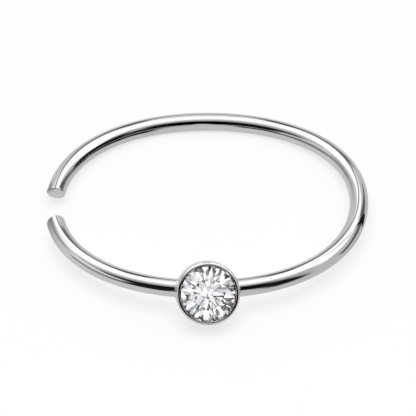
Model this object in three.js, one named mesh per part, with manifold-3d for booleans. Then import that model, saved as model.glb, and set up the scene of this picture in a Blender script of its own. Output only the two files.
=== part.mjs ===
// Open nose hoop with one round stone in a bezel cup, lying on a flat surface as it rests by itself.
// Millimetres, +Z up. The stone is at the front (-Y), the opening between the free ends at the left (-X).

import * as THREE from "three";
import { ConvexGeometry } from "three/addons/geometries/ConvexGeometry.js";
import { mergeVertices } from "three/addons/utils/BufferGeometryUtils.js";
import Module from "manifold-3d";

const degrees = THREE.MathUtils.degToRad;

// Hoop: one round wire bent into a circle that stays open at the side.
const HOOP_INNER_DIAMETER = 10;
const WIRE_DIAMETER = 0.64;
const LONG_END_GAP = 0.79; // from the opening's middle to the tip of the arm that goes round the back
const SHORT_END_GAP = 0.94; // from the opening's middle to the tip of the front arm
const END_DOME_LENGTH = 0.1; // how far the flatly rounded end reaches past the full wire
const LONG_END_SLANT = degrees(27); // the long arm's end faces down by this much, its top reaching furthest
const SLANT_RUN = 1; // length of wire over which the cross sections lean over to that slant
const HOOP_BULGE = 0.062; // the bent wire runs this far outside its circle at four diagonals
const BULGE_TURN = degrees(-3.6); // of the four bulges from the true diagonals

// Stone: a round brilliant, whose cut is given as shares of its diameter and facet angles.
const STONE_DIAMETER = 1.9;
const GIRDLE_THICKNESS = 0.04;
const TABLE_SHARE = 0.57; // table corner to corner, as a share of the stone
const STAR_SHARE = 0.5; // reach of the star facets, from the table's edge to the girdle
const LOWER_HALF_SHARE = 0.77; // reach of the lower halves, from the girdle to the point
const CROWN_ANGLE = degrees(34.5);
const PAVILION_ANGLE = degrees(40.8);
const STONE_TURN = degrees(11); // of the facets about the stone's own axis
const MAIN_FACETS = 8;

// Bezel cup: a closed cup whose rim rounds up to a ridge and whose lip drops from it over the stone's edge.
const CUP_WALL = 0.11;
const CUP_FLOOR = 0.1;
const LIP_OVERLAP = 0.025; // how far the lip reaches in over the stone's edge
const LIP_HEIGHT = 0.174; // from the underside of the lip to its top
const RIM_WIDTH = 0.1; // of the rim's outer rounding, from the cup's wall in to the ridge
const RIM_DROP = 0.11; // of the rim's outer rounding, from the ridge down to the wall
const RIDGE_ROUNDING = 0.02; // of the ridge's inner edge
const BACK_ROUNDING = 0.1; // of the edge between the cup's wall and its flat back
const STONE_CLEARANCE = 0.03; // all round between the stone and the cup
const FACE_LIFT = degrees(31); // of the cup's axis above the plane of the hoop
const FACE_TURN = degrees(3); // of the cup's axis to the right of the hoop's radius
const CUP_STAND_OUT = 0.23; // of the cup's middle, outside the circle of the wire

// Fineness of the curved surfaces.
const WIRE_SIDES = 20;
const WIRE_STEPS = 108;
const DOME_STEPS = 5;
const CUP_SIDES = 60;
const RIM_STEPS = 6;
const RIDGE_STEPS = 2;
const ROUNDING_STEPS = 4;
const WELD_DISTANCE = 1e-5; // corners closer than this are one

// Sizes that follow from those above.
const wireRadius = WIRE_DIAMETER / 2;
const hoopRadius = HOOP_INNER_DIAMETER / 2 + wireRadius;
const stoneRadius = STONE_DIAMETER / 2;
const tableRadius = stoneRadius * TABLE_SHARE;
const crownHeight = (stoneRadius - tableRadius) * Math.tan(CROWN_ANGLE);
const pavilionDepth = stoneRadius * Math.tan(PAVILION_ANGLE);
const pocketRadius = stoneRadius + STONE_CLEARANCE;
const cupRadius = pocketRadius + CUP_WALL;
const lipRadius = stoneRadius - LIP_OVERLAP;
const cupReach = wireReach(-Math.PI / 2) + CUP_STAND_OUT; // from the hoop's centre to the cup's middle

// Heights along the cup's axis, from the flat back (0) to the top of the lip.
const seatDrop = STONE_CLEARANCE / Math.cos(PAVILION_ANGLE);
const pointHeight = CUP_FLOOR + seatDrop;
const girdleBottom = pointHeight + pavilionDepth;
const girdleTop = girdleBottom + GIRDLE_THICKNESS;
const lipUnderside = girdleTop + LIP_OVERLAP * Math.tan(CROWN_ANGLE) + STONE_CLEARANCE;
const cupDepth = lipUnderside + LIP_HEIGHT;

const metal = new THREE.MeshStandardMaterial({ color: 0xdcdcde, roughness: 0.08, metalness: 1 });
const crystal = new THREE.MeshStandardMaterial({
  color: 0xf4f5fa,
  roughness: 0.02,
  metalness: 0,
  transparent: true,
  opacity: 0.4,
});

const wasm = await Module();
wasm.setup();

// A closed geometry as a solid that can be joined and cut.
function solidOf(geometry) {
  const bare = geometry.clone();
  bare.deleteAttribute("normal");
  bare.deleteAttribute("uv");
  const merged = mergeVertices(bare, WELD_DISTANCE);
  return new wasm.Manifold(
    new wasm.Mesh({
      numProp: 3,
      vertProperties: merged.attributes.position.array,
      triVerts: new Uint32Array(merged.index.array),
    }),
  );
}

// The solid back as a geometry with flat-shaded faces.
function geometryOf(solid) {
  const mesh = solid.getMesh();
  const geometry = new THREE.BufferGeometry();
  geometry.setAttribute("position", new THREE.BufferAttribute(mesh.vertProperties, 3));
  geometry.setIndex(new THREE.BufferAttribute(mesh.triVerts, 1));
  const faceted = geometry.toNonIndexed();
  faceted.computeVertexNormals();
  return faceted;
}

// Points on an ellipse about (centreX, centreY), from one angle to another, both ends included.
function arc(centreX, centreY, radiusX, radiusY, fromAngle, toAngle, steps) {
  return Array.from({ length: steps + 1 }, (_, i) => {
    const angle = fromAngle + ((toAngle - fromAngle) * i) / steps;
    return new THREE.Vector2(centreX + radiusX * Math.cos(angle), centreY + radiusY * Math.sin(angle));
  });
}

// How far the middle of the wire lies from the hoop's centre: a circle that bulges at four diagonals.
function wireReach(angle) {
  return hoopRadius - HOOP_BULGE * Math.cos(4 * (angle - BULGE_TURN));
}

// The hoop's wire: a straight round rod with rounded ends, bent about the hoop's centre.
// The front arm ends short of -X one way round and the arm that goes round the back the other way.
function makeWire() {
  const shoulderAt = (gap) =>
    hoopRadius * (Math.PI - Math.asin(gap / hoopRadius)) - END_DOME_LENGTH;
  const first = -shoulderAt(SHORT_END_GAP);
  const last = shoulderAt(LONG_END_GAP);
  const shaft = Array.from(
    { length: WIRE_STEPS - 1 },
    (_, i) => new THREE.Vector2(wireRadius, first + ((last - first) * (i + 1)) / WIRE_STEPS),
  );
  const profile = [
    ...arc(0, first, wireRadius, END_DOME_LENGTH, -Math.PI / 2, 0, DOME_STEPS),
    ...shaft,
    ...arc(0, last, wireRadius, END_DOME_LENGTH, 0, Math.PI / 2, DOME_STEPS),
  ];
  profile[0].x = 0;
  profile[profile.length - 1].x = 0;

  const rod = new THREE.LatheGeometry(profile, WIRE_SIDES);
  const place = rod.attributes.position;
  for (let i = 0; i < place.count; i++) {
    const lean = THREE.MathUtils.clamp((place.getY(i) - last) / SLANT_RUN + 1, 0, 1);
    const along = place.getY(i) + lean * place.getZ(i) * Math.tan(LONG_END_SLANT);
    const angle = along / hoopRadius;
    const reach = wireReach(angle) + place.getX(i);
    place.setXYZ(i, reach * Math.cos(angle), reach * Math.sin(angle), place.getZ(i));
  }
  return rod;
}

// The cup on its own axis (+Y), its flat back at height 0: a wall turned in one outline, which
// starts in the pocket under the stone's point and ends at the middle of the back.
function makeCup() {
  const ridge = cupRadius - RIM_WIDTH;
  const ridgeFoot = cupDepth - RIDGE_ROUNDING;
  const rimFoot = cupDepth - RIM_DROP;
  const seatHeight = (radius) => pointHeight + radius * Math.tan(PAVILION_ANGLE) - seatDrop;
  const floorRadius = STONE_CLEARANCE;
  const outline = [
    new THREE.Vector2(0, seatHeight(floorRadius)),
    new THREE.Vector2(floorRadius, seatHeight(floorRadius)),
    new THREE.Vector2(pocketRadius, seatHeight(pocketRadius)),
    new THREE.Vector2(pocketRadius, girdleTop + STONE_CLEARANCE),
    new THREE.Vector2(lipRadius, lipUnderside),
    ...arc(ridge, ridgeFoot, RIDGE_ROUNDING, RIDGE_ROUNDING, Math.PI, Math.PI / 2, RIDGE_STEPS),
    ...arc(ridge, rimFoot, RIM_WIDTH, RIM_DROP, Math.PI / 2, 0, RIM_STEPS).slice(1),
    ...arc(
      cupRadius - BACK_ROUNDING,
      BACK_ROUNDING,
      BACK_ROUNDING,
      BACK_ROUNDING,
      0,
      -Math.PI / 2,
      ROUNDING_STEPS,
    ),
    new THREE.Vector2(0, 0),
  ];
  return new THREE.LatheGeometry(outline.reverse(), CUP_SIDES);
}

// What the wire loses inside the cup: a plug that ends in the middle of the cup's wall and floor,
// so that the wire stops in the metal of the wall.
function makeCupCore() {
  const radius = pocketRadius + CUP_WALL / 2;
  const height = cupDepth - CUP_FLOOR / 2;
  const core = new THREE.CylinderGeometry(radius, radius, height, CUP_SIDES);
  core.translate(0, CUP_FLOOR / 2 + height / 2, 0);
  return core;
}

// The stone on its own axis (+Y), its point at height 0: table, stars, kites and upper halves
// above the girdle, lower halves and main facets below. It is convex, so its corners are enough.
function makeStone() {
  const half = Math.PI / MAIN_FACETS;
  const tableEdge = tableRadius * Math.cos(half);
  const starRadius = tableEdge + STAR_SHARE * (stoneRadius - tableEdge);
  const lowerRadius = stoneRadius * (1 - LOWER_HALF_SHARE);
  const girdleUpper = pavilionDepth + GIRDLE_THICKNESS;
  const starHeight = girdleUpper + (stoneRadius - starRadius * Math.cos(half)) * Math.tan(CROWN_ANGLE);
  const lowerHeight = lowerRadius * Math.cos(half) * Math.tan(PAVILION_ANGLE);
  const corner = (radius, height, angle) =>
    new THREE.Vector3(radius * Math.cos(angle), height, radius * Math.sin(angle));

  const corners = [new THREE.Vector3(0, 0, 0)];
  for (let i = 0; i < MAIN_FACETS; i++) {
    const main = STONE_TURN + 2 * half * i;
    const between = main + half;
    corners.push(
      corner(tableRadius, girdleUpper + crownHeight, main),
      corner(starRadius, starHeight, between),
      corner(lowerRadius, lowerHeight, between),
    );
    for (const angle of [main, between]) {
      corners.push(corner(stoneRadius, girdleUpper, angle), corner(stoneRadius, pavilionDepth, angle));
    }
  }
  return new ConvexGeometry(corners);
}

// Where the cup stands on the hoop: its middle just outside the wire at the front, its axis
// raised from the plane of the hoop and turned a little to the right.
function cupPlace() {
  const turn = new THREE.Matrix4()
    .makeRotationZ(FACE_TURN)
    .multiply(new THREE.Matrix4().makeRotationX(Math.PI - FACE_LIFT));
  const middle = new THREE.Matrix4().makeTranslation(0, -cupReach, 0);
  return middle.multiply(turn).multiply(new THREE.Matrix4().makeTranslation(0, -cupDepth / 2, 0));
}

// The angle that lifts the front when the hoop lies by itself: the surface touches the underside of
// the wire at the back and the rounded back edge of the cup at the front.
function restAngle() {
  const toEdge = cupRadius - BACK_ROUNDING;
  const toBack = cupDepth / 2 - BACK_ROUNDING;
  const edgeForward = cupReach - toBack * Math.cos(FACE_LIFT) + toEdge * Math.sin(FACE_LIFT);
  const edgeBelow = toBack * Math.sin(FACE_LIFT) + toEdge * Math.cos(FACE_LIFT);
  const length = wireReach(Math.PI / 2) + edgeForward;
  const slope = Math.atan2(edgeBelow, length);
  return slope - Math.asin((wireRadius - BACK_ROUNDING) / Math.hypot(length, edgeBelow));
}

const place = cupPlace();
const wire = solidOf(makeWire()).subtract(solidOf(makeCupCore().applyMatrix4(place)));
const setting = wire.add(solidOf(makeCup().applyMatrix4(place)));

const hoopWithBezel = new THREE.Mesh(geometryOf(setting), metal);
hoopWithBezel.name = "hoop_with_bezel";

const stone = new THREE.Mesh(makeStone(), crystal);
stone.name = "stone";
stone.position.y = pointHeight;

const bezel = new THREE.Group();
bezel.applyMatrix4(place);
bezel.add(stone);

const hoop = new THREE.Group();
hoop.rotation.x = -restAngle();
hoop.add(hoopWithBezel, bezel);

// The origin is under the middle of the hoop's outline, on the surface that it rests on.
const reach = new THREE.Box3().setFromObject(hoop, true);
const middle = reach.getCenter(new THREE.Vector3());
hoop.position.set(-middle.x, -middle.y, -reach.min.z);

const noseHoop = new THREE.Group();
noseHoop.name = "nose_hoop";
noseHoop.add(hoop);

export default noseHoop;
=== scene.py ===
"""Looks of an open nose hoop: polished wire, a plain bezel cup and a round brilliant, lying on a pale floor.

Lengths inside the classes are millimetres and angles are degrees; meshes are written in metres, in the
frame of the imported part.
"""

import logging
from dataclasses import dataclass, field
from enum import Enum

import bpy
import numpy as np
from mathutils import Matrix


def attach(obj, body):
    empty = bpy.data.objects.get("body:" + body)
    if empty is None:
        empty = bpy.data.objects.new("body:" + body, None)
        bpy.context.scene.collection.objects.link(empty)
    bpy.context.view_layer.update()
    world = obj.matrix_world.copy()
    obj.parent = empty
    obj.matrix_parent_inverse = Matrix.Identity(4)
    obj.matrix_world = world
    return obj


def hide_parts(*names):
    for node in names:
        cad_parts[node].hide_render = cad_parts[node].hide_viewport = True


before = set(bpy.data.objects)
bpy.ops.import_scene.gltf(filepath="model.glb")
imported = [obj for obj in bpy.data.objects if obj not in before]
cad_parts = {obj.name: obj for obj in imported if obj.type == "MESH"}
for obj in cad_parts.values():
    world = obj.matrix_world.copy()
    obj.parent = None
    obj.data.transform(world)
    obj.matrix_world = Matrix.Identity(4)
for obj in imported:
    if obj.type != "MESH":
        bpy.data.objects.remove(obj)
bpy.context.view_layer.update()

log = logging.getLogger("nose_hoop")

MM = 0.001
CREASE = 35.0  # degrees between two faces, past which a smooth piece keeps a crisp edge
GRAIN = "grain"  # attribute with a piece's grain coordinates
PAINTED_SHADE = "inside"  # attribute that is 1 in the pocket and under the lip, where shade is painted in


class Slot(Enum):
    """The record's material slots."""

    METAL = "polished_metal"
    STONE = "clear_stone"


class Arm(Enum):
    """The two stretches of wire on either side of the cup, by the side on which each leaves it."""

    LONG = 1
    SHORT = -1


class Shade(Enum):
    """How the faces of a mesh are shaded."""

    FLAT = "flat"
    SMOOTH = "smooth"


class Signal:
    """A shader output that can be used in sums, with numbers or with other outputs."""

    def __init__(self, nodes: "ShaderNodes", socket: bpy.types.NodeSocket) -> None:
        """Keeps the output and the node tree that it belongs to."""
        self.nodes = nodes
        self.socket = socket

    def _math(self, operation: str, *terms: "Signal | float") -> "Signal":
        """Adds one Math node.

        Args:
            operation: the node's operation.
            terms: its inputs, in order.

        Returns:
            The node's value.
        """
        return self.nodes.out("Math", {"operation": operation}, {i: t for i, t in enumerate(terms)})

    def __add__(self, other: "Signal | float") -> "Signal":
        """This plus other."""
        return self._math("ADD", self, other)

    def __radd__(self, other: float) -> "Signal":
        """Other plus this."""
        return self._math("ADD", other, self)

    def __sub__(self, other: "Signal | float") -> "Signal":
        """This minus other."""
        return self._math("SUBTRACT", self, other)

    def __rsub__(self, other: float) -> "Signal":
        """Other minus this."""
        return self._math("SUBTRACT", other, self)

    def __mul__(self, other: "Signal | float") -> "Signal":
        """This times other."""
        return self._math("MULTIPLY", self, other)

    def __rmul__(self, other: float) -> "Signal":
        """Other times this."""
        return self._math("MULTIPLY", other, self)

    def __abs__(self) -> "Signal":
        """The size of this, without its sign."""
        return self._math("ABSOLUTE", self)

    def call(self, operation: str, *others: "Signal | float") -> "Signal":
        """Any other Math operation, with this as its first input."""
        return self._math(operation, self, *others)

    def ramp(self, low: float, high: float, at_low: float = 0.0, at_high: float = 1.0) -> "Signal":
        """A smooth step from at_low, where this is low or less, to at_high, where it is high or more.

        Args:
            low: where the step begins.
            high: where the step ends.
            at_low: the result up to low.
            at_high: the result from high.

        Returns:
            The stepped value.
        """
        return self.nodes.out(
            "MapRange",
            {"interpolation_type": "SMOOTHSTEP"},
            {"Value": self, "From Min": low, "From Max": high, "To Min": at_low, "To Max": at_high},
        )


class ShaderNodes:
    """The nodes of one material or world."""

    def __init__(self, tree: bpy.types.NodeTree) -> None:
        """Empties the tree and keeps it."""
        self.tree = tree
        tree.nodes.clear()

    def add(self, kind: str, settings: dict, inputs: dict) -> bpy.types.Node:
        """Adds a node.

        Args:
            kind: the node's type, without its ShaderNode prefix.
            settings: properties of the node, set before its sockets.
            inputs: a value or a Signal for each socket, by its name or place.

        Returns:
            The node.
        """
        node = self.tree.nodes.new("ShaderNode" + kind)
        for name, value in settings.items():
            setattr(node, name, value)
        for name, value in inputs.items():
            if isinstance(value, Signal):
                self.tree.links.new(value.socket, node.inputs[name])
            else:
                node.inputs[name].default_value = value
        return node

    def out(self, kind: str, settings: dict, inputs: dict, output: str | int = 0) -> Signal:
        """Adds a node, as add does, and gives one of its outputs."""
        return Signal(self, self.add(kind, settings, inputs).outputs[output])

    def dot(self, vector: Signal, axis: np.ndarray) -> Signal:
        """How far a vector reaches along an axis."""
        inputs = {0: vector, 1: tuple(float(a) for a in axis)}
        return self.out("VectorMath", {"operation": "DOT_PRODUCT"}, inputs, "Value")

    def scaled(self, vector: Signal, factors: tuple[float, float, float]) -> Signal:
        """A vector with each of its parts multiplied by its own factor."""
        return self.out("VectorMath", {"operation": "MULTIPLY"}, {0: vector, 1: factors})

    def noise(self, vector: Signal, scale: float, detail: float, roughness: float = 0.5) -> Signal:
        """Soft noise over a vector, from 0 to 1."""
        inputs = {"Vector": vector, "Scale": scale, "Detail": detail, "Roughness": roughness}
        return self.out("TexNoise", {}, inputs, "Fac")

    def blend(self, factor: Signal, low: tuple | Signal, high: tuple | Signal) -> Signal:
        """A colour that goes from low to high as factor goes from 0 to 1."""
        inputs = {0: factor, 6: low, 7: high}
        return self.out("Mix", {"data_type": "RGBA"}, inputs, 2)

    def object_mm(self) -> Signal:
        """Object coordinates in millimetres."""
        place = self.out("TexCoord", {}, {}, "Object")
        return self.scaled(place, (1 / MM, 1 / MM, 1 / MM))

    def grain(self) -> Signal:
        """The piece's own grain coordinates: millimetres along, and twice across, the polishing marks."""
        return self.out("Attribute", {"attribute_name": GRAIN}, {}, "Vector")


@dataclass(frozen=True)
class PolishedMetal:
    """Mirror-polished white metal, with faint polishing marks that follow the piece's grain."""

    name: str = "polished_white_metal"
    colour: tuple[float, float, float] = (0.90, 0.90, 0.905)
    worn_colour: tuple[float, float, float] = (0.86, 0.86, 0.865)
    roughness: float = 0.02
    roughness_spread: float = 0.02
    # painted shade: dark warm colour and higher roughness for the cup's pocket and the underside of its lip
    painted_pocket_shade: tuple[float, float, float] = (0.30, 0.24, 0.18)
    pocket_shade_roughness: float = 0.25
    mark_scale: tuple[float, float, float] = (1.2, 60.0, 60.0)
    mark_depth: float = 0.00006
    pit_scale: float = 90.0
    pit_depth: float = 0.00008
    wear_scale: float = 1.6

    def material(self) -> bpy.types.Material:
        """Makes the finish.

        Long thin noise along the grain is the polishing marks, fine noise the pits, and broad noise the
        slow change of the polish over the piece. In the pocket and under the lip, shade is painted in as a
        dark warm colour, with a higher roughness.
        slow change of the polish over the piece. Where the polish doesn't reach, the metal is tarnished.

        Returns:
            The material.
        """
        made = bpy.data.materials.new(self.name)
        made.use_nodes = True
        nodes = ShaderNodes(made.node_tree)
        place = nodes.object_mm()
        marks = nodes.noise(nodes.scaled(nodes.grain(), self.mark_scale), 1.0, 3.0, 0.6)
        pits = nodes.noise(place, self.pit_scale, 2.0)
        broad = nodes.noise(place, self.wear_scale, 2.0)
        roughness = broad.ramp(0.35, 0.7) * self.roughness_spread + self.roughness
        roughness = marks.ramp(0.55, 0.75) * (self.roughness_spread * 0.6) + roughness
        colour = nodes.blend(broad.ramp(0.3, 0.75), (*self.colour, 1.0), (*self.worn_colour, 1.0))
        # painted shade: where the attribute is 1, the colour turns dark and warm and the roughness rises
        inside = nodes.out("Attribute", {"attribute_name": PAINTED_SHADE}, {}, "Fac")
        colour = nodes.blend(inside, colour, (*self.painted_pocket_shade, 1.0))
        roughness = inside * self.pocket_shade_roughness + roughness
        height = marks * self.mark_depth + pits.ramp(0.7, 0.9) * (-self.pit_depth)
        normal = nodes.out("Bump", {}, {"Strength": 1.0, "Distance": MM, "Height": height})
        shader = nodes.out(
            "BsdfPrincipled",
            {"distribution": "GGX"},
            {"Base Color": colour, "Metallic": 1.0, "Roughness": roughness, "Normal": normal},
        )
        nodes.add("OutputMaterial", {}, {"Surface": shader})
        return made


@dataclass(frozen=True)
class CutCrystal:
    """Clear colourless stone with polished facets."""

    name: str = "clear_cut_stone"
    colour: tuple[float, float, float] = (0.985, 0.985, 1.0)
    cloud_colour: tuple[float, float, float] = (0.975, 0.98, 1.0)
    cloud_scale: float = 3.0
    refraction: float = 2.18
    mark_scale: tuple[float, float, float] = (8.0, 60.0, 30.0)
    mark_depth: float = 0.00002

    def material(self) -> bpy.types.Material:
        """Makes the finish: clear glass, with polishing lines far finer than a facet.

        Returns:
            The material.
        """
        made = bpy.data.materials.new(self.name)
        made.use_nodes = True
        nodes = ShaderNodes(made.node_tree)
        place = nodes.object_mm()
        lines = nodes.noise(nodes.scaled(place, self.mark_scale), 1.0, 2.0)
        cloud = nodes.noise(place, self.cloud_scale, 2.0)
        tint = nodes.blend(cloud.ramp(0.35, 0.7), (*self.colour, 1.0), (*self.cloud_colour, 1.0))
        normal = nodes.out("Bump", {}, {"Strength": 1.0, "Distance": MM, "Height": lines * self.mark_depth})
        shader = nodes.out(
            "BsdfPrincipled",
            {},
            {
                "Base Color": tint,
                "Roughness": 0.0,
                "IOR": self.refraction,
                "Transmission Weight": 1.0,
                "Normal": normal,
            },
        )
        nodes.add("OutputMaterial", {}, {"Surface": shader})
        return made


@dataclass(frozen=True)
class PaleFloor:
    """Plain white sheet, lit from below as well as from above."""

    name: str = "pale_floor"
    colour: tuple[float, float, float] = (0.15, 0.15, 0.15)
    glow: float = 0.75

    def material(self) -> bpy.types.Material:
        """Makes the finish."""
        made = bpy.data.materials.new(self.name)
        made.use_nodes = True
        nodes = ShaderNodes(made.node_tree)
        settings = {
            "Base Color": (*self.colour, 1.0),
            "Roughness": 1.0,
            "Specular IOR Level": 0.0,
            "Emission Color": (1.0, 1.0, 1.0, 1.0),
            "Emission Strength": self.glow,
        }
        shader = nodes.out("BsdfPrincipled", {}, settings)
        nodes.add("OutputMaterial", {}, {"Surface": shader})
        return made


@dataclass
class Surface:
    """A closed surface over a grid: rows along it, columns round it, and a point at each end."""

    rows: np.ndarray
    start: np.ndarray
    end: np.ndarray
    grain: np.ndarray
    start_grain: np.ndarray
    end_grain: np.ndarray

    def faces(self) -> list:
        """Faces of the grid, its columns joined into rings and its ends closed with fans.

        Returns:
            One list of corner numbers for each face, turned outwards where the columns run round
            anticlockwise as seen from the end that the rows run to.
        """
        count, around = self.rows.shape[:2]
        corner = np.arange(count * around).reshape(count, around)
        beside = np.roll(corner, -1, axis=1)
        sides = np.stack([corner[:-1], beside[:-1], beside[1:], corner[1:]], axis=-1).reshape(-1, 4)
        first = np.full(around, count * around)
        opening = np.stack([beside[0], corner[0], first], axis=-1)
        closing = np.stack([corner[-1], beside[-1], first + 1], axis=-1)
        return sides.tolist() + opening.tolist() + closing.tolist()

    def vertices(self) -> np.ndarray:
        """All points, the grid's first and then the two ends."""
        return np.vstack([self.rows.reshape(-1, 3), self.start, self.end])

    def grain_values(self) -> np.ndarray:
        """The grain coordinates of all points, in the order of vertices."""
        return np.vstack([self.grain.reshape(-1, 3), self.start_grain, self.end_grain])


def make_object(
    name: str,
    points: np.ndarray,
    faces: list,
    shade: Shade,
    finish: bpy.types.Material,
    grain: np.ndarray | None = None,
    inside: np.ndarray | None = None,
) -> bpy.types.Object:
    """Makes a mesh object from points in millimetres.

    Args:
        name: the piece's name.
        points: one row of x, y, z for each vertex.
        faces: corner numbers of each face.
        shade: flat facets, or smooth but for crisp creases.
        finish: its material.
        grain: grain coordinates of each vertex, if the finish has a grain.
        inside: 1 for each vertex where shade is painted in, 0 for the others, if any is painted.

    Returns:
        The object, at the origin.
    """
    mesh = bpy.data.meshes.new(name)
    mesh.from_pydata((points * MM).tolist(), [], faces)
    if grain is not None:
        values = mesh.attributes.new(GRAIN, "FLOAT_VECTOR", "POINT")
        values.data.foreach_set("vector", grain.astype(np.float32).ravel())
    if inside is not None:
        values = mesh.attributes.new(PAINTED_SHADE, "FLOAT", "POINT")
        values.data.foreach_set("value", inside.astype(np.float32))
    mesh.polygons.foreach_set("use_smooth", np.full(len(mesh.polygons), shade is Shade.SMOOTH))
    if shade is Shade.SMOOTH:
        mesh.set_sharp_from_angle(angle=np.radians(CREASE))
    mesh.materials.append(finish)
    mesh.validate()
    mesh.update()
    made = bpy.data.objects.new(name, mesh)
    bpy.context.scene.collection.objects.link(made)
    return made


def turn_matrix(axis: str, angle: float) -> np.ndarray:
    """A turn about the x or z axis, as a 4 by 4 array.

    Args:
        axis: "X" or "Z".
        angle: in degrees.

    Returns:
        The matrix.
    """
    return np.array(Matrix.Rotation(np.radians(angle), 4, axis))


def shift_matrix(x: float, y: float, z: float) -> np.ndarray:
    """A shift, as a 4 by 4 array."""
    return np.array(Matrix.Translation((x, y, z)))


def placed(points: np.ndarray, matrix: np.ndarray) -> np.ndarray:
    """Points moved by a 4 by 4 matrix, whatever the shape of their array."""
    return points @ matrix[:3, :3].T + matrix[:3, 3]


@dataclass
class Stone:
    """Round brilliant: table, 8 stars, 8 kites, 16 upper halves, girdle, 16 lower halves, 8 mains."""

    diameter: float = 1.9
    girdle: float = 0.04
    table_share: float = 0.57
    star_share: float = 0.5
    lower_half_share: float = 0.77
    crown_angle: float = 34.5
    pavilion_angle: float = 40.8
    turn: float = 11.0
    mains: int = 8

    @property
    def radius(self) -> float:
        """Half the diameter."""
        return self.diameter / 2

    @property
    def pavilion_depth(self) -> float:
        """From the point up to the girdle."""
        return self.radius * np.tan(np.radians(self.pavilion_angle))

    def corners(self) -> dict[str, np.ndarray]:
        """Corners of the facets on the stone's own axis, +Y, with its point at height 0.

        Each ring of corners lies at one radius and height; table, main girdle corners at the main
        angles, star and lower half corners half a step on. A star's corner lies on the kite's plane,
        and a lower half's corner on the main's plane, so that those facets are flat.

        Returns:
            Eight rows of x, y, z for each ring, by name.
        """
        half = np.pi / self.mains
        slope = np.tan(np.radians(self.crown_angle))
        table = self.radius * self.table_share
        edge = table * np.cos(half)
        star = edge + self.star_share * (self.radius - edge)
        lower = self.radius * (1 - self.lower_half_share)
        top = self.pavilion_depth + self.girdle
        star_height = top + (self.radius - star * np.cos(half)) * slope
        lower_height = lower * np.cos(half) * np.tan(np.radians(self.pavilion_angle))
        main = np.radians(self.turn) + 2 * half * np.arange(self.mains)

        def ring(radius: float, height: float, angles: np.ndarray) -> np.ndarray:
            """Points at one radius and height."""
            level = np.full_like(angles, height)
            return np.stack([radius * np.cos(angles), level, radius * np.sin(angles)], -1)

        return {
            "table": ring(table, top + (self.radius - table) * slope, main),
            "star": ring(star, star_height, main + half),
            "upper_main": ring(self.radius, top, main),
            "upper_half": ring(self.radius, top, main + half),
            "girdle_main": ring(self.radius, self.pavilion_depth, main),
            "girdle_half": ring(self.radius, self.pavilion_depth, main + half),
            "lower": ring(lower, lower_height, main + half),
        }

    def build(self, matrix: np.ndarray, finish: bpy.types.Material) -> bpy.types.Object:
        """Makes the stone.

        Args:
            matrix: from the stone's own axis to the row frame.
            finish: its material.

        Returns:
            The object.
        """
        rings = self.corners()
        at = {name: i * self.mains + np.arange(self.mains) for i, name in enumerate(rings)}
        on = {name: np.roll(numbers, -1) for name, numbers in at.items()}
        back = {name: np.roll(numbers, 1) for name, numbers in at.items()}
        tip = np.full(self.mains, len(rings) * self.mains)
        facets = [
            (at["table"], on["table"], at["star"]),
            (at["table"], at["star"], at["upper_main"], back["star"]),
            (at["star"], at["upper_half"], at["upper_main"]),
            (at["star"], on["upper_main"], at["upper_half"]),
            (at["upper_main"], at["upper_half"], at["girdle_half"], at["girdle_main"]),
            (at["upper_half"], on["upper_main"], on["girdle_main"], at["girdle_half"]),
            (at["girdle_main"], at["girdle_half"], at["lower"]),
            (at["girdle_half"], on["girdle_main"], at["lower"]),
            (tip, back["lower"], at["girdle_main"], at["lower"]),
        ]
        faces = [at["table"][::-1].tolist()]
        for facet in facets:
            faces += np.stack(facet, -1).tolist()
        points = placed(np.vstack([*rings.values(), np.zeros(3)]), matrix)
        made = make_object("brilliant", points, faces, Shade.FLAT, finish)
        outward(made)
        return made


def outward(made: bpy.types.Object) -> None:
    """Turns the faces of a convex piece outwards: a face whose normal points at the middle is flipped."""
    mesh = made.data
    count = len(mesh.polygons)
    centres, normals = np.empty(count * 3), np.empty(count * 3)
    mesh.polygons.foreach_get("center", centres)
    mesh.polygons.foreach_get("normal", normals)
    centres, normals = centres.reshape(-1, 3), normals.reshape(-1, 3)
    inward = ((centres - centres.mean(0)) * normals).sum(1) < 0
    for number in np.flatnonzero(inward):
        mesh.polygons[number].flip()
    mesh.update()


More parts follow.
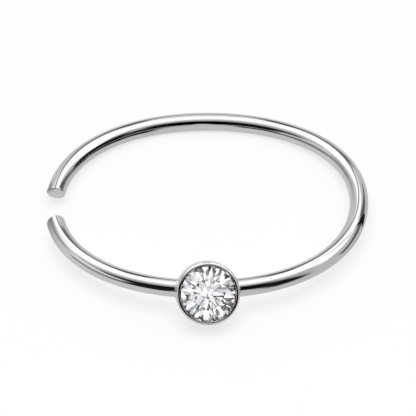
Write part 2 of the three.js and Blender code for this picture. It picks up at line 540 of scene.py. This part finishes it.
@dataclass
class Cup:
    """Closed bezel cup turned in one outline, whose rim rounds up to a ridge and slopes to the stone."""

    stone: Stone
    wall: float = 0.11
    floor: float = 0.1
    lip_overlap: float = 0.025
    lip_height: float = 0.174
    rim_width: float = 0.1
    rim_drop: float = 0.11
    ridge_rounding: float = 0.02
    back_rounding: float = 0.1
    clearance: float = 0.03
    # share of the lip's inner slope over which the painted shade fades out
    painted_shade_fade: float = 0.2
    around: int = 240
    cone_steps: int = 24
    rise_steps: int = 8
    ridge_steps: int = 9
    rim_steps: int = 33
    wall_steps: int = 12
    back_steps: int = 13
    back_shares: tuple[float, float] = (0.6, 0.2)

    @property
    def radius(self) -> float:
        """Outside of the wall."""
        return self.stone.radius + self.clearance + self.wall

    @property
    def seat_drop(self) -> float:
        """How far the pocket's cone lies below the stone's, measured along the axis."""
        return self.clearance / np.cos(np.radians(self.stone.pavilion_angle))

    @property
    def point_height(self) -> float:
        """Height of the stone's point above the cup's back."""
        return self.floor + self.seat_drop

    @property
    def girdle_top(self) -> float:
        """Height of the upper edge of the stone's girdle."""
        return self.point_height + self.stone.pavilion_depth + self.stone.girdle

    @property
    def lip_underside(self) -> float:
        """Height of the lip's inner edge."""
        slope = np.tan(np.radians(self.stone.crown_angle))
        return self.girdle_top + self.lip_overlap * slope + self.clearance

    @property
    def depth(self) -> float:
        """From the flat back to the top of the rim."""
        return self.lip_underside + self.lip_height

    def outline(self) -> np.ndarray:
        """The turned outline, as radius and height, from the pocket's middle to the back's middle.

        Straight down the pocket's cone, round the girdle's groove, under the lip and up its slope; a
        quarter circle over the ridge and a quarter ellipse down from it to the wall; straight down the
        wall; a quarter circle round the back's edge.

        Returns:
            Two columns, radius and height.
        """
        slope = np.tan(np.radians(self.stone.pavilion_angle))
        pocket = self.stone.radius + self.clearance
        ridge = self.radius - self.rim_width
        lip = self.stone.radius - self.lip_overlap

        def seat(radius: np.ndarray) -> np.ndarray:
            """Height of the pocket's cone at a radius."""
            return self.point_height + radius * slope - self.seat_drop

        cone = np.linspace(self.clearance, pocket, self.cone_steps)
        inner = np.linspace(-np.pi / 2, 0, self.ridge_steps)
        over = np.linspace(0, np.pi / 2, self.rim_steps)[1:]
        edge = np.linspace(0, -np.pi / 2, self.back_steps)
        rise = np.linspace(0, 1, self.rise_steps)[1:-1, None]
        under_lip = np.array([lip, self.lip_underside])
        ridge_foot = self.depth - self.ridge_rounding
        rim_foot = self.depth - self.rim_drop
        ridge_arc = self.ridge_rounding * np.stack([np.sin(inner), np.cos(inner)], -1)
        rim_arc = np.stack([self.rim_width * np.sin(over), self.rim_drop * np.cos(over)], -1)
        back_arc = self.back_rounding * np.stack([np.cos(edge) - 1, np.sin(edge) + 1], -1)
        slope_top = np.array([ridge - self.ridge_rounding, ridge_foot])
        wall_top = np.array([self.radius, rim_foot])
        wall_foot = np.array([self.radius, self.back_rounding])
        drop = np.linspace(0, 1, self.wall_steps)[1:-1, None]
        return np.vstack(
            [
                np.stack([cone, seat(cone)], -1),
                [pocket, self.girdle_top + self.clearance],
                under_lip,
                under_lip + (slope_top - under_lip) * rise,
                [ridge, ridge_foot] + ridge_arc,
                [ridge, rim_foot] + rim_arc,
                wall_top + (wall_foot - wall_top) * drop,
                [self.radius, 0] + back_arc,
                [[self.radius * share, 0.0] for share in self.back_shares],
            ]
        )

    def build(self, matrix: np.ndarray, finish: bpy.types.Material) -> bpy.types.Object:
        """Makes the cup: the outline turned about the +Y axis, (r cos a, h, r sin a).

        Args:
            matrix: from the cup's own axis to the row frame.
            finish: its material.

        Returns:
            The object.
        """
        outline = self.outline()
        angle = np.linspace(0, 2 * np.pi, self.around, endpoint=False)
        radius, height = outline[:, :1], outline[:, 1:]
        rows = np.stack([radius * np.cos(angle), height + 0 * angle, radius * np.sin(angle)], -1)
        length = np.r_[0, np.cumsum(np.hypot(*np.diff(outline, axis=0).T))][:, None]
        grain = np.stack([np.cos(angle) + 0 * length, length + 0 * angle, np.sin(angle) + 0 * length], -1)
        surface = Surface(
            placed(rows, matrix),
            placed(np.array([[0.0, outline[0, 1], 0.0]]), matrix),
            placed(np.array([[0.0, 0.0, 0.0]]), matrix),
            grain,
            np.array([[0.0, 0.0, 0.0]]),
            np.array([[0.0, length[-1, 0], 0.0]]),
        )
        # painted shade: 1 in the pocket below the lip's underside, fading to 0 up the lip's inner slope
        lip_end = length[np.argmax(outline[:, 1]), 0]
        under_lip = length[np.flatnonzero(np.isclose(outline[:, 1], self.lip_underside))[0], 0]
        fade = self.painted_shade_fade * (lip_end - under_lip)
        unshaded = np.clip((length - under_lip) / fade, 0, 1) + 0 * angle
        return make_object(
            "bezel_cup",
            surface.vertices(),
            surface.faces(),
            Shade.SMOOTH,
            finish,
            surface.grain_values(),
            np.r_[(1 - unshaded).ravel(), 1.0, 0.0],
        )


@dataclass
class Hoop:
    """Round wire bent into a circle that bulges a little at four diagonals and stays open at the side."""

    cup: Cup
    inner_diameter: float = 10.0
    wire_diameter: float = 0.64
    long_end_gap: float = 0.79
    short_end_gap: float = 0.94
    end_dome: float = 0.1
    long_end_slant: float = 27.0
    slant_run: float = 1.0
    bulges: int = 4
    bulge: float = 0.062
    bulge_turn: float = -3.6
    face_lift: float = 31.0
    face_turn: float = 3.0
    cup_stand_out: float = 0.23
    centre: tuple[float, float, float] = (-0.0377, 0.5012, 0.7504)
    rest_lift: float = 4.7052
    solder: float = 0.05
    solder_spread: float = 1.3
    buried: float = 0.14
    cup_within: float = 24.0
    clear_of_cup: float = 17.0
    around: int = 96
    shaft_steps: int = 420
    cap_steps: int = 8
    buried_steps: int = 4
    solder_steps: int = 12
    joining_steps: int = 14
    dome_steps: int = 20
    halvings: int = 40

    @property
    def wire_radius(self) -> float:
        """Half the wire's diameter."""
        return self.wire_diameter / 2

    @property
    def radius(self) -> float:
        """From the hoop's centre to the middle of the wire, before it bulges."""
        return self.inner_diameter / 2 + self.wire_radius

    def reach(self, angle: np.ndarray | float) -> np.ndarray | float:
        """From the hoop's centre to the middle of the wire, at an angle in radians.

        The circle's radius less bulge times the cosine of bulges times the angle from the bulges' turn.
        """
        return self.radius - self.bulge * np.cos(self.bulges * (angle - np.radians(self.bulge_turn)))

    def rest_matrix(self) -> np.ndarray:
        """From the hoop's own plane to the row frame, where the hoop lies on its back and on the cup."""
        return shift_matrix(*self.centre) @ turn_matrix("X", -self.rest_lift)

    def cup_matrix(self) -> np.ndarray:
        """From the cup's own axis to the hoop's plane: the cup's middle just outside the wire."""
        out = self.reach(-np.pi / 2) + self.cup_stand_out
        turned = turn_matrix("Z", self.face_turn) @ turn_matrix("X", 180 - self.face_lift)
        return shift_matrix(0, -out, 0) @ turned @ shift_matrix(0, -self.cup.depth / 2, 0)

    def on_wire(self, angle: np.ndarray, radius: np.ndarray, round_angle: np.ndarray) -> np.ndarray:
        """Points of the bent wire, in the hoop's plane.

        At the bend angle a and, round the wire, the angle b, a point lies at the distance
        reach(a) + radius cos b from the hoop's axis and at the height radius sin b.

        Args:
            angle: the bend angle of each point, in radians.
            radius: how far each point lies from the wire's middle.
            round_angle: the angle round the wire, in radians.

        Returns:
            x, y, z in the last axis.
        """
        angle, radius, round_angle = np.broadcast_arrays(angle, radius, round_angle)
        out = self.reach(angle) + radius * np.cos(round_angle)
        return np.stack([out * np.cos(angle), out * np.sin(angle), radius * np.sin(round_angle)], -1)

    def off_axis(self, points: np.ndarray) -> np.ndarray:
        """How far points in the hoop's plane lie from the cup's axis."""
        own = placed(points, np.linalg.inv(self.cup_matrix()))
        return np.hypot(own[..., 0], own[..., 2])

    def meets_cup(self, distance: float, radius: np.ndarray, round_angle: np.ndarray, arm: Arm) -> np.ndarray:
        """The bend angle at which each line along the wire is a given distance from the cup's axis.

        Found by halving the stretch between the cup's middle and a point well clear of the cup.

        Args:
            distance: from the cup's axis.
            radius: how far each line lies from the wire's middle.
            round_angle: the angle of each line round the wire.
            arm: on which side of the cup.

        Returns:
            The bend angle of each line.
        """
        inside = np.full(np.broadcast(radius, round_angle).shape, -np.pi / 2)
        outside = inside + arm.value * np.radians(self.cup_within)
        for _ in range(self.halvings):
            middle = (inside + outside) / 2
            near = self.off_axis(self.on_wire(middle, radius, round_angle)) < distance
            inside, outside = np.where(near, middle, inside), np.where(near, outside, middle)
        return (inside + outside) / 2

    def build_arm(self, arm: Arm, finish: bpy.types.Material) -> bpy.types.Object:
        """Makes one stretch of wire, from inside the cup's wall to its rounded free end.

        Its buried end follows the cup's round wall. A small solder fillet, the hollow quarter of a
        circle, widens the wire where it reaches the wall. The free end is half a flat ellipsoid; at the
        long arm's, the last cross sections lean over, so that it faces down.

        Args:
            arm: which of the two stretches.
            finish: its material.

        Returns:
            The object.
        """
        round_angle = np.linspace(0, 2 * np.pi, self.around, endpoint=False) * arm.value
        gap = self.long_end_gap if arm is Arm.LONG else self.short_end_gap
        slant = np.tan(np.radians(self.long_end_slant)) if arm is Arm.LONG else 0.0
        tip = arm.value * (np.pi - np.arcsin(gap / self.radius))
        shoulder = tip - arm.value * self.end_dome / self.radius
        full = np.full(self.around, self.wire_radius)

        cap_share = np.linspace(0, 1, self.cap_steps)[1:-1, None]
        cap_radius = cap_share * (self.wire_radius + self.solder)
        cap_angle = self.meets_cup(self.cup.radius - self.buried, cap_radius, round_angle[None], arm)
        cap_radius = cap_radius + 0 * cap_angle

        start = self.meets_cup(self.cup.radius - self.buried, full + self.solder, round_angle, arm)
        surface = self.meets_cup(self.cup.radius, full, round_angle, arm)
        clear = -np.pi / 2 + arm.value * np.radians(self.clear_of_cup)
        close = np.linspace(0, 1, self.solder_steps)[:, None] ** 1.5
        end_of_solder = surface + arm.value * self.solder_spread * self.solder / self.radius
        buried_angle = start + (surface - start) * np.linspace(0, 1, self.buried_steps)[:-1, None]
        solder_angle = surface + (end_of_solder - surface) * close
        free = np.linspace(0, 1, self.joining_steps)[1:-1, None]
        joining_angle = end_of_solder + (clear - end_of_solder) * free
        shaft_angle = np.linspace(clear, shoulder, self.shaft_steps)[:, None] + 0 * full
        near = np.vstack([buried_angle, solder_angle, joining_angle])
        off = self.off_axis(self.on_wire(near, self.wire_radius, round_angle[None])) - self.cup.radius
        left = np.clip(self.solder - np.clip(off, 0, None), 0, None)
        near_radius = self.wire_radius + self.solder - np.sqrt(self.solder**2 - left**2)

        bend = np.linspace(0, np.pi / 2, self.dome_steps)[1:-1, None]
        dome_angle = shoulder + (tip - shoulder) * np.sin(bend) + 0 * full
        dome_radius = self.wire_radius * np.cos(bend) + 0 * full
        angle = np.vstack([cap_angle, near, shaft_angle, dome_angle])
        radius = np.vstack([cap_radius, near_radius, 0 * shaft_angle + self.wire_radius, dome_radius])
        across = round_angle[None] + 0 * angle
        lean = np.clip((arm.value * (angle - shoulder)) * self.radius / self.slant_run + 1, 0, 1)
        angle = angle + lean * slant * radius * np.sin(across) / self.radius

        start_angle = self.meets_cup(self.cup.radius - self.buried, np.zeros(1), np.zeros(1), arm)
        ends = self.on_wire(np.array([start_angle[0], tip]), np.zeros(2), np.zeros(2))
        grain = np.stack([angle * self.radius, radius * np.cos(across), radius * np.sin(across)], -1)
        rest = self.rest_matrix()
        piece = Surface(
            placed(self.on_wire(angle, radius, across), rest),
            placed(ends[:1], rest),
            placed(ends[1:], rest),
            grain,
            np.array([[start_angle[0] * self.radius, 0.0, 0.0]]),
            np.array([[tip * self.radius, 0.0, 0.0]]),
        )
        return make_object(
            f"wire_{arm.name.lower()}_arm",
            piece.vertices(),
            piece.faces(),
            Shade.SMOOTH,
            finish,
            piece.grain_values(),
        )


class Cut(Enum):
    """Shapes that the panels of the light tent are cut to."""

    SQUARE = "square"
    ROUND = "round"


@dataclass(frozen=True)
class Card:
    """A soft-edged panel of the light tent, far away, as seen from the object."""

    azimuth: float
    elevation: float
    turn: float
    half_width: float
    half_height: float
    softness: float
    brightness: float
    cut: Cut = Cut.SQUARE
    tint: tuple[float, float, float] = (1.0, 1.0, 1.0)

    def axes(self) -> tuple[np.ndarray, np.ndarray, np.ndarray]:
        """The card's middle, width and height directions.

        The azimuth runs from +Y towards +X; the width and height are turned about the middle.

        Returns:
            Three unit vectors.
        """
        a, e, t = np.radians([self.azimuth, self.elevation, self.turn])
        middle = np.array([np.sin(a) * np.cos(e), np.cos(a) * np.cos(e), np.sin(e)])
        side = np.array([np.cos(a), -np.sin(a), 0.0])
        up = np.cross(side, middle)
        return middle, side * np.cos(t) + up * np.sin(t), up * np.cos(t) - side * np.sin(t)

    def mask(self, nodes: ShaderNodes, direction: Signal) -> Signal:
        """1 where a direction meets the card, 0 where it misses it, and between over its soft edge.

        Args:
            nodes: the world's nodes.
            direction: unit vector.

        Returns:
            The mask.
        """
        middle, side, up = self.axes()
        across = abs(nodes.dot(direction, side).call("ARCTAN2", nodes.dot(direction, middle)))
        along = abs(nodes.dot(direction, up).call("ARCSINE"))
        edge = np.radians(self.softness) / 2
        width, height = np.radians([self.half_width, self.half_height])
        if self.cut is Cut.ROUND:
            wide, high = across * (1 / width), along * (1 / height)
            out = (wide * wide + high * high).call("SQRT")
            return ((1.0 - out) * min(width, height)).ramp(-edge, edge)
        return across.ramp(width - edge, width + edge, 1, 0) * along.ramp(height - edge, height + edge, 1, 0)


@dataclass(frozen=True)
class Tent:
    """A light tent: a bright top, a duller lower half, and cards in front of them."""

    low: float
    low_slope: float
    top: float
    edge: float
    edge_softness: float
    cards: tuple[Card, ...]

    def colour(self, nodes: ShaderNodes, direction: Signal) -> Signal:
        """The tent's light in each direction.

        Args:
            nodes: the world's nodes.
            direction: unit vector.

        Returns:
            The colour.
        """
        height = nodes.dot(direction, np.array([0.0, 0.0, 1.0])).call("ARCSINE")
        edge, soft = np.radians([self.edge, self.edge_softness])
        above = height.ramp(edge - soft / 2, edge + soft / 2)
        left = nodes.dot(direction, np.array([-1.0, 0.0, 0.0])) * self.low_slope + 1.0
        value = left * self.low * (1.0 - above) + above * self.top
        for card in self.cards:
            shown = tuple(card.brightness * part for part in card.tint)
            value = nodes.blend(card.mask(nodes, direction), value, (*shown, 1.0))
        return value


METAL_TENT = Tent(
    low=0.567,
    low_slope=0.093,
    top=1.123,
    edge=24.7,
    edge_softness=3.9,
    cards=(
        Card(195, 34.5, -3.5, 81.5, 34.5, 20, 0.45),
        Card(197, 22.5, -7, 54, 24, 15, 0.0),
        Card(135, 3.5, -20, 18, 25, 15, 0.01),
        Card(-145, 8, 3, 16.5, 21, 10, 0.01),
        Card(-101, -7, -4.5, 21, 4.7, 9, 0.14),
        Card(-83, 15.5, 4.5, 45, 6.5, 16, 0.85),
        Card(-51, 12, -19, 20.5, 7.5, 22, 0.25),
        Card(53.5, 0.5, -30, 29, 9, 2.5, 0.12),
        Card(-2, -16.5, -3, 8.5, 57.5, 2, 0.7, Cut.ROUND),
        Card(0, 47, 0, 9, 20, 4, 0.66, Cut.ROUND),
        Card(-6, 41, 112, 14, 1.9, 1.5, 0.1),
        Card(6, 41, 68, 14, 1.9, 1.5, 0.1),
        Card(8, 20, 133, 11, 1.9, 1.5, 0.14),
        Card(-4, 22, 60, 6, 2.2, 2, 0.3),
    ),
)


@dataclass(frozen=True)
class Sector:
    """A panel of the stone's surroundings: part of a ring round the line of sight, in degrees."""

    near: float
    far: float
    start: float
    stop: float
    brightness: float
    tint: tuple[float, float, float] = (0.99, 0.99, 1.02)
    softness: float = 1.2

    def mask(self, nodes: ShaderNodes, off: Signal, turn: Signal) -> Signal:
        """1 inside the panel, 0 outside it.

        Args:
            nodes: the world's nodes.
            off: how far a direction lies from the line of sight, in radians.
            turn: its angle round the line of sight, from straight up towards the right.

        Returns:
            The mask.
        """
        middle, half = np.radians([(self.near + self.far) / 2, (self.far - self.near) / 2])
        round_middle, round_half = np.radians([(self.start + self.stop) / 2, (self.stop - self.start) / 2])
        edge = np.radians(self.softness) / 2
        in_ring = abs(off - middle).ramp(half - edge, half + edge, 1, 0)
        return in_ring * abs(turn - round_middle).ramp(round_half - edge, round_half + edge, 1, 0)


@dataclass(frozen=True)
class RingTent:
    """Bright surroundings of the stone, with panels in rings round the line of sight."""

    brightness: float
    elevation: float
    sectors: tuple[Sector, ...]

    def colour(self, nodes: ShaderNodes, direction: Signal) -> Signal:
        """The light in each direction.

        Args:
            nodes: the world's nodes.
            direction: unit vector.

        Returns:
            The colour.
        """
        e = np.radians(self.elevation)
        off = nodes.dot(direction, np.array([0.0, -np.cos(e), np.sin(e)])).call("ARCCOSINE")
        up = nodes.dot(direction, np.array([0.0, np.sin(e), np.cos(e)]))
        turn = nodes.dot(direction, np.array([1.0, 0.0, 0.0])).call("ARCTAN2", up)
        value: tuple | Signal = (self.brightness, self.brightness, self.brightness, 1.0)
        for sector in self.sectors:
            shown = tuple(sector.brightness * part for part in sector.tint)
            value = nodes.blend(sector.mask(nodes, off, turn), value, (*shown, 1.0))
        return value


WARM = (1.5, 0.95, 0.5)  # tints of single sectors, as red, green and blue shares
COOL = (0.85, 0.95, 1.2)

STONE_TENT = RingTent(
    brightness=1.3,
    elevation=38.0,
    sectors=(
        Sector(5, 10, -90, -45, 0.05),
        Sector(5, 10, -45, 0, 0.9),
        Sector(10, 15, -180, -135, 0.6),
        Sector(10, 15, -90, -45, 0.4, COOL),
        Sector(10, 15, -45, 0, 0.03),
        Sector(10, 15, 0, 45, 0.45),
        Sector(10, 15, 90, 135, 0.25),
        Sector(10, 15, 135, 180, 0.7),
        Sector(15, 20, -180, -120, 0.03),
        Sector(15, 20, -60, -30, 0.6),
        Sector(15, 60, -30, 0, 0.03),
        Sector(15, 20, 0, 30, 0.6),
        Sector(15, 45, 30, 60, 0.03),
        Sector(15, 20, 60, 90, 0.7),
        Sector(15, 20, 90, 120, 0.95),
        Sector(15, 20, 120, 150, 0.1, WARM),
        Sector(20, 35, -180, -150, 0.03),
        Sector(20, 27, -150, -120, 0.95),
        Sector(20, 27, -90, -60, 0.6),
        Sector(20, 27, -60, -30, 0.35),
        Sector(20, 27, 0, 30, 0.9),
        Sector(20, 27, 30, 60, 0.35),
        Sector(20, 27, 60, 90, 0.05, COOL),
        Sector(20, 27, 120, 180, 0.9),
        Sector(27, 35, -150, -120, 0.35),
        Sector(27, 35, -120, -90, 0.9),
        Sector(27, 35, -90, -60, 0.11, WARM),
        Sector(27, 45, 0, 30, 0.6),
        Sector(27, 35, 90, 180, 0.04, WARM),
        Sector(35, 45, -180, -150, 0.9),
        Sector(35, 45, -120, -90, 0.03),
        Sector(35, 45, 150, 180, 0.03),
        Sector(45, 60, -180, -30, 0.03, COOL),
        Sector(45, 60, 0, 45, 0.03),
        Sector(45, 60, 90, 180, 0.03),
        Sector(60, 100, -120, -60, 0.03),
        Sector(60, 100, 0, 60, 0.03),
    ),
)


@dataclass(frozen=True)
class Flag:
    """A soft-edged upright panel that stands close to the hoop, in millimetres; only metal mirrors it."""

    name: str
    start: tuple[float, float]
    end: tuple[float, float]
    bottom: float
    top: float
    softness: float
    brightness: float

    def build(self) -> bpy.types.Object:
        """Makes the panel: an upright rectangle, see-through outside its soft edge.

        Returns:
            The object.
        """
        start, end = np.array([*self.start, 0.0]), np.array([*self.end, 0.0])
        length = float(np.linalg.norm(end - start))
        along = (end - start) / length
        edge = self.softness / 2
        left, right, low, high = -edge, length + edge, self.bottom - edge, self.top + edge
        corners = [(left, low), (right, low), (right, high), (left, high)]
        points = np.array([start + along * far + [0, 0, tall] for far, tall in corners])
        made = make_object(self.name, points, [[0, 1, 2, 3]], Shade.FLAT, self.material(start, along, length))
        made.visible_camera = made.visible_diffuse = made.visible_shadow = made.visible_transmission = False
        return made

    def material(self, start: np.ndarray, along: np.ndarray, length: float) -> bpy.types.Material:
        """Makes its material, which shines evenly inside the edge and lets light pass outside it.

        Args:
            start: where the panel begins.
            along: unit vector that it runs along.
            length: how far it runs.

        Returns:
            The material.
        """
        made = bpy.data.materials.new(self.name)
        made.use_nodes = True
        nodes = ShaderNodes(made.node_tree)
        place = nodes.object_mm()
        edge = self.softness / 2
        far = abs(nodes.dot(place, along) - float(start @ along + length / 2))
        high = abs(nodes.dot(place, np.array([0.0, 0.0, 1.0])) - (self.bottom + self.top) / 2)
        half, tall = length / 2, (self.top - self.bottom) / 2
        mask = far.ramp(half - edge, half + edge, 1, 0) * high.ramp(tall - edge, tall + edge, 1, 0)
        glow = nodes.out("Emission", {}, {"Color": (1.0, 1.0, 1.0, 1.0), "Strength": self.brightness})
        clear = nodes.out("BsdfTransparent", {}, {})
        shader = nodes.out("MixShader", {}, {0: mask, 1: clear, 2: glow})
        nodes.add("OutputMaterial", {}, {"Surface": shader})
        return made


FLAGS = (
    Flag("right_flag", (23.5, 18.9), (5.85, -0.62), -3.5, 7.9, 1.6, 0.01),
    Flag("left_flag", (-12.8, 18.6), (-6.36, -0.05), -1.2, 2.3, 5.0, 0.13),
)


@dataclass
class Studio:
    """Pale floor under a light tent, and the camera."""

    floor_radius: float = 100.0
    floor_sides: int = 96
    backdrop: float = 0.985
    elevation: float = 37.995
    roll: float = -0.736
    pixels: int = 416
    pixels_per_mm: float = 29.0
    aim: tuple[float, float] = (206.44, 204.9)
    distance: float = 600.0
    sensor: float = 36.0
    clip_shares: tuple[float, float] = (0.1, 4.0)
    bounces: int = 32
    glossy_bounces: int = 24
    lamp_radius: float = 90.0
    lamp_distance: float = 250.0
    lamp_tilt: float = 24.0
    lamp_radiance: float = 8.7
    floor: PaleFloor = field(default_factory=PaleFloor)

    def build_floor(self) -> bpy.types.Object:
        """Makes the floor, a flat round sheet that polished metal and the stone don't mirror.

        Returns:
            The object.
        """
        angle = np.linspace(0, 2 * np.pi, self.floor_sides, endpoint=False)
        points = self.floor_radius * np.stack([np.cos(angle), np.sin(angle), 0 * angle], -1)
        whole = [list(range(self.floor_sides))]
        made = make_object("floor", points, whole, Shade.FLAT, self.floor.material())
        made.visible_glossy = False
        made.visible_transmission = False
        return made

    def build_lamp(self) -> bpy.types.Object:
        """Makes the round soft light that draws the shadow on the floor; metal and stone don't mirror it.

        A flat round light of radius r sends out its radiance times pi times its area, pi r squared.

        Returns:
            The light.
        """
        light = bpy.data.lights.new("overhead_softbox", "AREA")
        light.shape = "DISK"
        light.size = 2 * self.lamp_radius * MM
        light.energy = self.lamp_radiance * np.pi**2 * (self.lamp_radius * MM) ** 2
        made = bpy.data.objects.new("overhead_softbox", light)
        bpy.context.scene.collection.objects.link(made)
        lifted = turn_matrix("X", self.lamp_tilt) @ shift_matrix(0, 0, self.lamp_distance * MM)
        made.matrix_world = Matrix(lifted.tolist())
        made.visible_glossy = False
        made.visible_transmission = False
        return made

    def build_light(self) -> bpy.types.World:
        """Makes the light tent, with one set of cards for the metal and another behind the stone.

        Returns:
            The world.
        """
        world = bpy.data.worlds.new("light_tent")
        bpy.context.scene.world = world
        world.use_nodes = True
        nodes = ShaderNodes(world.node_tree)
        direction = nodes.out("TexCoord", {}, {}, "Object")
        path = nodes.add("LightPath", {}, {})
        through = Signal(nodes, path.outputs["Transmission Depth"]).call("MINIMUM", 1.0)
        seen = Signal(nodes, path.outputs["Is Camera Ray"])
        metal = METAL_TENT.colour(nodes, direction)
        stone = STONE_TENT.colour(nodes, direction)
        plain = (self.backdrop, self.backdrop, self.backdrop, 1.0)
        colour = nodes.blend(seen, nodes.blend(through, metal, stone), plain)
        light = nodes.out("Background", {}, {"Color": colour, "Strength": 1.0})
        nodes.add("OutputWorld", {}, {"Surface": light})
        return world

    def build_camera(self, target: np.ndarray) -> bpy.types.Object:
        """Makes the camera, so that the target falls on the aim in the picture.

        Args:
            target: a point in the row frame, in millimetres.

        Returns:
            The camera.
        """
        e, r = np.radians([self.elevation, self.roll])
        ahead = np.array([0.0, np.cos(e), -np.sin(e)])
        level = np.array([1.0, 0.0, 0.0])
        up = np.cross(level, ahead)
        right = level * np.cos(r) + up * np.sin(r)
        above = up * np.cos(r) - level * np.sin(r)
        across = (self.aim[0] - self.pixels / 2) / self.pixels_per_mm
        raised = (self.pixels / 2 - self.aim[1]) / self.pixels_per_mm
        place = target - right * across - above * raised - ahead * self.distance
        camera = bpy.data.cameras.new("camera")
        camera.sensor_width = self.sensor
        camera.lens = camera.sensor_width * self.distance * self.pixels_per_mm / self.pixels
        camera.clip_start, camera.clip_end = (self.distance * MM * share for share in self.clip_shares)
        made = bpy.data.objects.new("camera", camera)
        bpy.context.scene.collection.objects.link(made)
        made.matrix_world = Matrix(
            [[*row, p] for row, p in zip(np.stack([right, above, -ahead], -1), place * MM)] + [[0, 0, 0, 1]]
        )
        bpy.context.scene.camera = made
        return made

    def set_bounces(self) -> None:
        """Lets light go on through the stone until it is out again, and shows tones as they are."""
        scene = bpy.context.scene
        scene.view_settings.view_transform = "Standard"
        scene.cycles.max_bounces = self.bounces
        scene.cycles.glossy_bounces = self.glossy_bounces
        scene.cycles.transmission_bounces = self.bounces
        scene.cycles.blur_glossy = 0.0


def join_part(piece: bpy.types.Object, node: str, slot: Slot) -> None:
    """Makes a piece part of the object, in place of a CAD node, and reports it.

    Args:
        piece: the finished piece.
        node: the CAD node that it stands for.
        slot: the material slot that it stands for, only named in the log line.
    """
    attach(piece, "root")
    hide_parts(node)
    log.info("%s: %d faces, slot %s", piece.name, len(piece.data.polygons), slot.value)


def main() -> None:
    """Builds the wire, the cup and the stone, then the studio."""
    logging.basicConfig(level=logging.INFO, format="%(name)s: %(message)s")
    metal = PolishedMetal().material()
    crystal = CutCrystal().material()
    stone = Stone()
    cup = Cup(stone)
    hoop = Hoop(cup)
    in_row = hoop.rest_matrix() @ hoop.cup_matrix()
    for arm in Arm:
        join_part(hoop.build_arm(arm, metal), "hoop_with_bezel", Slot.METAL)
    join_part(cup.build(in_row, metal), "hoop_with_bezel", Slot.METAL)
    stone_matrix = in_row @ shift_matrix(0, cup.point_height, 0)
    join_part(stone.build(stone_matrix, crystal), "stone", Slot.STONE)

    studio = Studio()
    studio.build_floor()
    studio.build_lamp()
    for flag in FLAGS:
        flag.build()
    studio.build_light()
    studio.build_camera(np.array(hoop.centre))
    studio.set_bounces()

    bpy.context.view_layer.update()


if __name__ == "__main__":
    main()
